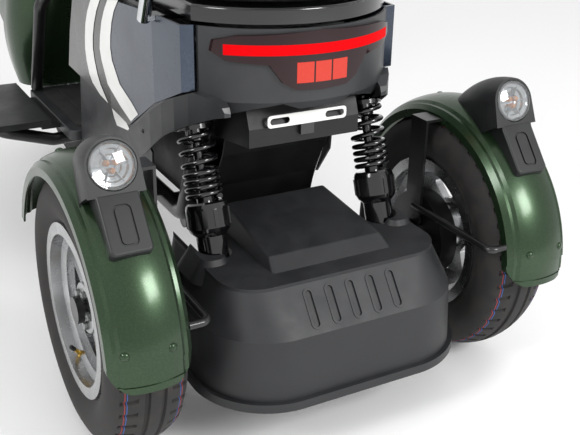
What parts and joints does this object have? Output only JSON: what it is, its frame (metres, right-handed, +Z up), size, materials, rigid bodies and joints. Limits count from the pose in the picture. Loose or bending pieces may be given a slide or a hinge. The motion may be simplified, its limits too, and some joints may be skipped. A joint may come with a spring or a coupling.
{
  "type": "electric tricycle",
  "caption": "Three-wheeled electric scooter with two driven wheels behind, a steered front wheel, a hinged two-up seat, fenders, lamps and a leg shield.",
  "frame": {"origin": "on the ground under the middle of the machine's length, midway between its sides", "axes": "+Y points forward along the machine, +Z up, +X to the rider's right"},
  "size_m": [0.817, 1.7361, 1.2124],
  "materials": {
    "black_steel": "satin",
    "cast": "cast",
    "battery": "matte",
    "dark_plastic": "textured",
    "black_gloss": "gloss",
    "green_paint": "satin metallic",
    "blue_grey_paint": "metallic",
    "rubber": "matte",
    "tyre": "matte",
    "alloy": "machined",
    "chrome": "polished",
    "red_lens": "clear red",
    "clear_lens": "clear",
    "mirror": "mirror",
    "vinyl": "grained",
    "white_steel": "gloss"
  },
  "bodies": {
    "steering": {"fork": "black_steel", "front_axle": "alloy", "handlebar": "black_steel", "grips": "rubber", "levers": "dark_plastic", "mirrors": "mirror", "headlamp": "clear_lens", "bar_cowl": "green_paint", "front_fender": "green_paint"},
    "seat": {"seat_pan": "black_gloss", "seat_cushion": "vinyl"},
    "front_wheel": {"front_tyre": "tyre", "front_rim": "alloy"},
    "rear_wheel_left": {"rear_tyre_left": "tyre", "rear_rim_left": "alloy"},
    "rear_wheel_right": {"rear_tyre_right": "tyre", "rear_rim_right": "alloy"},
    "chassis": {"frame": "black_steel", "rear_axle": "black_steel", "guard_tubes": "black_steel", "fender_brackets": "black_steel", "drive_motor": "cast", "battery": "battery", "axle_cover": "dark_plastic", "tail_panel": "dark_plastic", "seat_box": "dark_plastic", "under_panels": "dark_plastic", "side_steps": "dark_plastic", "floor_board": "dark_plastic", "lamp_pods": "dark_plastic", "shocks": "black_gloss", "springs": "black_gloss", "rear_fender_left": "green_paint", "rear_fender_right": "green_paint", "leg_shield": "green_paint", "nose_cowl": "green_paint", "side_panel_left": "blue_grey_paint", "side_panel_right": "blue_grey_paint", "floor_mat": "rubber", "grab_rail": "chrome", "tail_lamp": "red_lens", "lamp_lenses": "clear_lens", "backrest": "vinyl", "plate_bracket": "white_steel"}
  },
  "joints": [
    {"name": "steer", "type": "hinge", "parent": "chassis", "child": "steering", "pos_m": [0, 0.7335, 0], "axis": [0, -0.4384, 0.8988], "range_deg": [-38, 38]},
    {"name": "front_wheel_spin", "type": "hinge", "parent": "steering", "child": "front_wheel", "pos_m": [0, 0.6535, 0.215], "axis": [1, 0, 0], "continuous": true},
    {"name": "rear_wheel_left_spin", "type": "hinge", "parent": "chassis", "child": "rear_wheel_left", "pos_m": [-0.3365, -0.6165, 0.225], "axis": [1, 0, 0], "continuous": true},
    {"name": "rear_wheel_right_spin", "type": "hinge", "parent": "chassis", "child": "rear_wheel_right", "pos_m": [0.3365, -0.6165, 0.225], "axis": [1, 0, 0], "continuous": true},
    {"name": "seat_hinge", "type": "hinge", "parent": "chassis", "child": "seat", "pos_m": [0, -0.0685, 0.647], "axis": [-1, 0, 0], "range_deg": [0, 80]}
  ]
}
